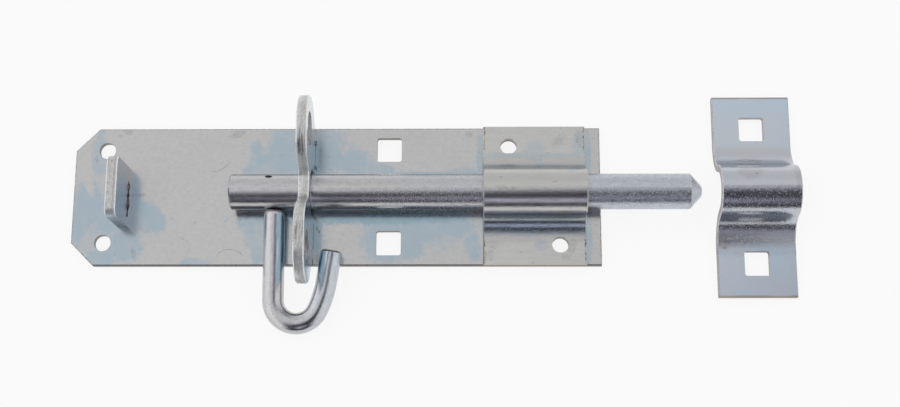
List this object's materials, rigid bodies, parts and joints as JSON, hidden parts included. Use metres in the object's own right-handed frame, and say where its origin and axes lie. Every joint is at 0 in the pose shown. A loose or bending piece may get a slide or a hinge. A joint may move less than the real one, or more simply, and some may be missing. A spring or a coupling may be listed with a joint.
{
  "type": "padbolt",
  "caption": "Flat padbolt: a round bar with a hook handle runs in a strap guide, is padlocked at an upright plate with eyes, and shoots into a separate arched keep.",
  "frame": {"origin": "middle of the plate's back face, on the door's surface", "axes": "+X along the bar towards its nose and the keep, +Y across the plate, +Z out from the door"},
  "size_m": [0.2043, 0.0687, 0.0244],
  "materials": {
    "plate_zinc": "dull zinc plate with faint blue patches",
    "lug_zinc": "dull zinc plate on sheared edges",
    "strap_zinc": "satin zinc plate",
    "bar_zinc": "bright zinc plate on drawn rod",
    "keep_zinc": "bright zinc plate with a blue tint"
  },
  "bodies": {
    "fixed": {"back_plate": "plate_zinc", "end_stop": "lug_zinc", "hasp_plate": "lug_zinc", "guide_saddle": "strap_zinc", "receiver_keep": "keep_zinc"},
    "bolt": {"bolt_bar": "bar_zinc"},
    "hook": {"hook_handle": "bar_zinc"}
  },
  "joints": [
    {"name": "bolt_slide", "type": "slide", "parent": "fixed", "child": "bolt", "axis": [1, 0, 0], "range_m": [0, 0.0042]},
    {"name": "bolt_turn", "type": "hinge", "parent": "bolt", "child": "hook", "pos_m": [-0.01675, 0, 0.0072], "axis": [-1, 0, 0], "range_deg": [0, 190.7]}
  ]
}
